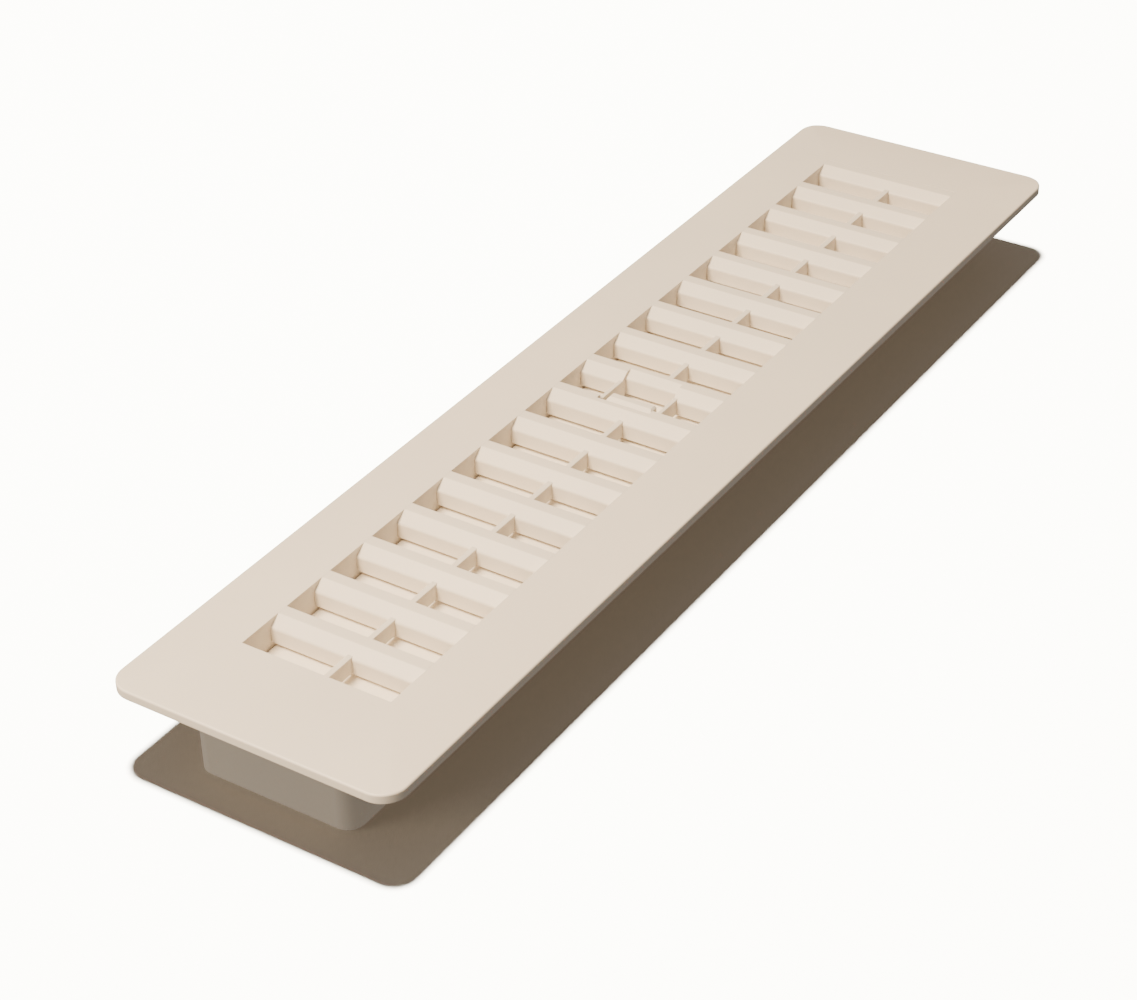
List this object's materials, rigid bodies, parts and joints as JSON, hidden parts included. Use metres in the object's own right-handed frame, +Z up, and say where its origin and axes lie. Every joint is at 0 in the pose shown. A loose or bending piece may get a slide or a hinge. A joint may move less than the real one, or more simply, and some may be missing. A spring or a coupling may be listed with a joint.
{
  "type": "louvred floor register",
  "caption": "Long plastic floor register: sloped faceplate, fixed louvres, duct collar and a linked multi-blade damper worked by a thumb lever.",
  "frame": {"origin": "at floor level under the middle of the faceplate, on the plane of the duct collar's lower rim", "axes": "+Z up out of the louvred face, +Y along the register away from the thumb lever's side of the slots, +X across it"},
  "size_m": [0.087, 0.362, 0.0272],
  "materials": {
    "faceplate_plastic": "satin moulded almond plastic",
    "louver_plastic": "satin moulded almond plastic",
    "collar_plastic": "satin moulded almond plastic",
    "damper_plastic": "satin moulded almond plastic",
    "lever_plastic": "satin moulded almond plastic",
    "tie_bar_plastic": "satin moulded almond plastic"
  },
  "bodies": {
    "register_frame": {"faceplate": "faceplate_plastic", "louver_01": "louver_plastic", "louver_02": "louver_plastic", "louver_03": "louver_plastic", "louver_04": "louver_plastic", "louver_05": "louver_plastic", "louver_06": "louver_plastic", "louver_07": "louver_plastic", "louver_08": "louver_plastic", "louver_09": "louver_plastic", "louver_10": "louver_plastic", "louver_11": "louver_plastic", "louver_12": "louver_plastic", "louver_13": "louver_plastic", "louver_14": "louver_plastic", "louver_15": "louver_plastic", "louver_16": "louver_plastic", "louver_17": "louver_plastic", "center_ribs": "louver_plastic", "lever_bay_ribs": "louver_plastic", "duct_collar": "collar_plastic"},
    "damper_blade_01": {"damper_blade_01": "damper_plastic"},
    "damper_blade_02": {"damper_blade_02": "damper_plastic"},
    "damper_blade_03": {"damper_blade_03": "damper_plastic"},
    "damper_blade_04": {"damper_blade_04": "damper_plastic"},
    "damper_blade_05": {"damper_blade_05": "damper_plastic"},
    "damper_blade_06": {"damper_blade_06": "damper_plastic"},
    "damper_blade_07": {"damper_blade_07": "damper_plastic"},
    "damper_blade_08": {"damper_blade_08": "damper_plastic"},
    "drive_blade": {"drive_blade": "damper_plastic", "thumb_lever": "lever_plastic"},
    "damper_blade_10": {"damper_blade_10": "damper_plastic"},
    "damper_blade_11": {"damper_blade_11": "damper_plastic"},
    "damper_blade_12": {"damper_blade_12": "damper_plastic"},
    "damper_blade_13": {"damper_blade_13": "damper_plastic"},
    "damper_blade_14": {"damper_blade_14": "damper_plastic"},
    "damper_blade_15": {"damper_blade_15": "damper_plastic"},
    "damper_blade_16": {"damper_blade_16": "damper_plastic"},
    "damper_blade_17": {"damper_blade_17": "damper_plastic"},
    "tie_bar": {"tie_bar": "tie_bar_plastic"}
  },
  "joints": [
    {"name": "damper_lever", "type": "hinge", "parent": "register_frame", "child": "drive_blade", "pos_m": [0, -0.0059, 0.0182], "axis": [-1, 0, 0], "range_deg": [0, 60]},
    {"name": "blade_01_pivot", "type": "hinge", "parent": "register_frame", "child": "damper_blade_01", "pos_m": [0, -0.15086, 0.0182], "axis": [-1, 0, 0], "range_deg": [0, 60]},
    {"name": "blade_02_pivot", "type": "hinge", "parent": "register_frame", "child": "damper_blade_02", "pos_m": [0, -0.13274, 0.0182], "axis": [-1, 0, 0], "range_deg": [0, 60]},
    {"name": "blade_03_pivot", "type": "hinge", "parent": "register_frame", "child": "damper_blade_03", "pos_m": [0, -0.11462, 0.0182], "axis": [-1, 0, 0], "range_deg": [0, 60]},
    {"name": "blade_04_pivot", "type": "hinge", "parent": "register_frame", "child": "damper_blade_04", "pos_m": [0, -0.0965, 0.0182], "axis": [-1, 0, 0], "range_deg": [0, 60]},
    {"name": "blade_05_pivot", "type": "hinge", "parent": "register_frame", "child": "damper_blade_05", "pos_m": [0, -0.07838, 0.0182], "axis": [-1, 0, 0], "range_deg": [0, 60]},
    {"name": "blade_06_pivot", "type": "hinge", "parent": "register_frame", "child": "damper_blade_06", "pos_m": [0, -0.06026, 0.0182], "axis": [-1, 0, 0], "range_deg": [0, 60]},
    {"name": "blade_07_pivot", "type": "hinge", "parent": "register_frame", "child": "damper_blade_07", "pos_m": [0, -0.04214, 0.0182], "axis": [-1, 0, 0], "range_deg": [0, 60]},
    {"name": "blade_08_pivot", "type": "hinge", "parent": "register_frame", "child": "damper_blade_08", "pos_m": [0, -0.02402, 0.0182], "axis": [-1, 0, 0], "range_deg": [0, 60]},
    {"name": "blade_10_pivot", "type": "hinge", "parent": "register_frame", "child": "damper_blade_10", "pos_m": [0, 0.01222, 0.0182], "axis": [-1, 0, 0], "range_deg": [0, 60]},
    {"name": "blade_11_pivot", "type": "hinge", "parent": "register_frame", "child": "damper_blade_11", "pos_m": [0, 0.03034, 0.0182], "axis": [-1, 0, 0], "range_deg": [0, 60]},
    {"name": "blade_12_pivot", "type": "hinge", "parent": "register_frame", "child": "damper_blade_12", "pos_m": [0, 0.04846, 0.0182], "axis": [-1, 0, 0], "range_deg": [0, 60]},
    {"name": "blade_13_pivot", "type": "hinge", "parent": "register_frame", "child": "damper_blade_13", "pos_m": [0, 0.06658, 0.0182], "axis": [-1, 0, 0], "range_deg": [0, 60]},
    {"name": "blade_14_pivot", "type": "hinge", "parent": "register_frame", "child": "damper_blade_14", "pos_m": [0, 0.0847, 0.0182], "axis": [-1, 0, 0], "range_deg": [0, 60]},
    {"name": "blade_15_pivot", "type": "hinge", "parent": "register_frame", "child": "damper_blade_15", "pos_m": [0, 0.10282, 0.0182], "axis": [-1, 0, 0], "range_deg": [0, 60]},
    {"name": "blade_16_pivot", "type": "hinge", "parent": "register_frame", "child": "damper_blade_16", "pos_m": [0, 0.12094, 0.0182], "axis": [-1, 0, 0], "range_deg": [0, 60]},
    {"name": "blade_17_pivot", "type": "hinge", "parent": "register_frame", "child": "damper_blade_17", "pos_m": [0, 0.13906, 0.0182], "axis": [-1, 0, 0], "range_deg": [0, 60]},
    {"name": "tie_bar_pivot", "type": "hinge", "parent": "drive_blade", "child": "tie_bar", "pos_m": [0.0208, -0.0029, 0.0122], "axis": [-1, 0, 0], "range_deg": [-60, 0]}
  ],
  "couplings": [
    {"joint": "blade_01_pivot", "follows": "damper_lever", "ratio": 1},
    {"joint": "blade_02_pivot", "follows": "damper_lever", "ratio": 1},
    {"joint": "blade_03_pivot", "follows": "damper_lever", "ratio": 1},
    {"joint": "blade_04_pivot", "follows": "damper_lever", "ratio": 1},
    {"joint": "blade_05_pivot", "follows": "damper_lever", "ratio": 1},
    {"joint": "blade_06_pivot", "follows": "damper_lever", "ratio": 1},
    {"joint": "blade_07_pivot", "follows": "damper_lever", "ratio": 1},
    {"joint": "blade_08_pivot", "follows": "damper_lever", "ratio": 1},
    {"joint": "blade_10_pivot", "follows": "damper_lever", "ratio": 1},
    {"joint": "blade_11_pivot", "follows": "damper_lever", "ratio": 1},
    {"joint": "blade_12_pivot", "follows": "damper_lever", "ratio": 1},
    {"joint": "blade_13_pivot", "follows": "damper_lever", "ratio": 1},
    {"joint": "blade_14_pivot", "follows": "damper_lever", "ratio": 1},
    {"joint": "blade_15_pivot", "follows": "damper_lever", "ratio": 1},
    {"joint": "blade_16_pivot", "follows": "damper_lever", "ratio": 1},
    {"joint": "blade_17_pivot", "follows": "damper_lever", "ratio": 1},
    {"joint": "tie_bar_pivot", "follows": "damper_lever", "ratio": -1}
  ]
}
